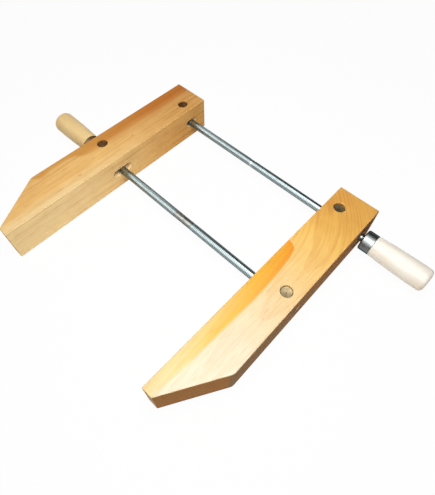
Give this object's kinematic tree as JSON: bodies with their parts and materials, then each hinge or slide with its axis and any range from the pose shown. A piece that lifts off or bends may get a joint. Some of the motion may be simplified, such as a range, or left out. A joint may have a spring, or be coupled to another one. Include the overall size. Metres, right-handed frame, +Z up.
{
  "type": "handscrew clamp",
  "caption": "Woodworker's handscrew: bevel-nosed wooden jaws on opposed-thread steel spindles with swivel nuts and turned grips, opening parallel or tapered to hold work",
  "frame": {"origin": "on the floor under the jaws, on the mid-plane between them and at half their length", "axes": "X runs along the spindles from the left jaw to the right jaw, Y along the jaws from the noses to the rear ends, Z up along the swivel nuts"},
  "size_m": [0.4876, 0.305, 0.047],
  "materials": {
    "jaw_wood": "clear-lacquered maple, edges eased",
    "handle_wood": "pale turned hardwood, thin lacquer",
    "nut_steel": "turned ends, dull",
    "spindle_steel": "bright zinc plate on rolled thread",
    "ferrule_steel": "drawn bright steel",
    "pin_steel": "plain"
  },
  "bodies": {
    "left_jaw": {"left_jaw": "jaw_wood"},
    "left_rear_nut": {"left_rear_nut": "nut_steel"},
    "left_mid_nut": {"left_mid_nut": "nut_steel"},
    "rear_ferrule": {"rear_ferrule": "ferrule_steel"},
    "rear_screw": {"rear_spindle": "spindle_steel", "rear_handle": "handle_wood", "rear_handle_pin": "pin_steel"},
    "mid_ferrule": {"mid_ferrule": "ferrule_steel"},
    "mid_screw": {"mid_spindle": "spindle_steel", "mid_handle": "handle_wood", "mid_handle_pin": "pin_steel"},
    "right_rear_nut": {"right_rear_nut": "nut_steel"},
    "right_jaw": {"right_jaw": "jaw_wood"},
    "right_mid_nut": {"right_mid_nut": "nut_steel"}
  },
  "joints": [
    {"name": "jaw_tilt", "type": "hinge", "parent": "left_jaw", "child": "left_rear_nut", "pos_m": [-0.12665, 0.126, 0.0235], "axis": [0, 0, 1], "range_deg": [0, 2]},
    {"name": "left_mid_swivel", "type": "hinge", "parent": "left_jaw", "child": "left_mid_nut", "pos_m": [-0.14635, 0.004, 0.0235], "axis": [0, 0, 1], "range_deg": [0, 2]},
    {"name": "jaw_opening", "type": "slide", "parent": "left_rear_nut", "child": "rear_ferrule", "axis": [1, 0, 0], "range_m": [-0.1095, 0.003]},
    {"name": "rear_turn", "type": "hinge", "parent": "rear_ferrule", "child": "rear_screw", "pos_m": [0, 0.126, 0.0235], "axis": [1, 0, 0], "range_deg": [-540, 19710]},
    {"name": "right_rear_travel", "type": "slide", "parent": "rear_ferrule", "child": "right_rear_nut", "axis": [1, 0, 0], "range_m": [-0.1095, 0.003]},
    {"name": "right_jaw_swing", "type": "hinge", "parent": "right_rear_nut", "child": "right_jaw", "pos_m": [0.12665, 0.126, 0.0235], "axis": [0, 0, 1], "range_deg": [0, 2]},
    {"name": "right_mid_swivel", "type": "hinge", "parent": "right_jaw", "child": "right_mid_nut", "pos_m": [0.14635, 0.004, 0.0235], "axis": [0, 0, 1], "range_deg": [-2, 0]},
    {"name": "left_mid_travel", "type": "slide", "parent": "left_mid_nut", "child": "mid_ferrule", "axis": [1, 0, 0], "range_m": [-0.1095, 0.003]},
    {"name": "mid_turn", "type": "hinge", "parent": "mid_ferrule", "child": "mid_screw", "pos_m": [0, 0.004, 0.0235], "axis": [1, 0, 0], "range_deg": [-540, 19710]}
  ],
  "couplings": [
    {"joint": "left_mid_swivel", "follows": "jaw_tilt", "ratio": 1},
    {"joint": "right_jaw_swing", "follows": "jaw_tilt", "ratio": 1},
    {"joint": "right_mid_swivel", "follows": "jaw_tilt", "ratio": -1},
    {"joint": "rear_turn", "follows": "jaw_opening", "rad_per_m": -3141.6},
    {"joint": "right_rear_travel", "follows": "jaw_opening", "ratio": 1},
    {"joint": "left_mid_travel", "follows": "jaw_opening", "ratio": 1},
    {"joint": "mid_turn", "follows": "jaw_opening", "rad_per_m": -3141.6}
  ]
}
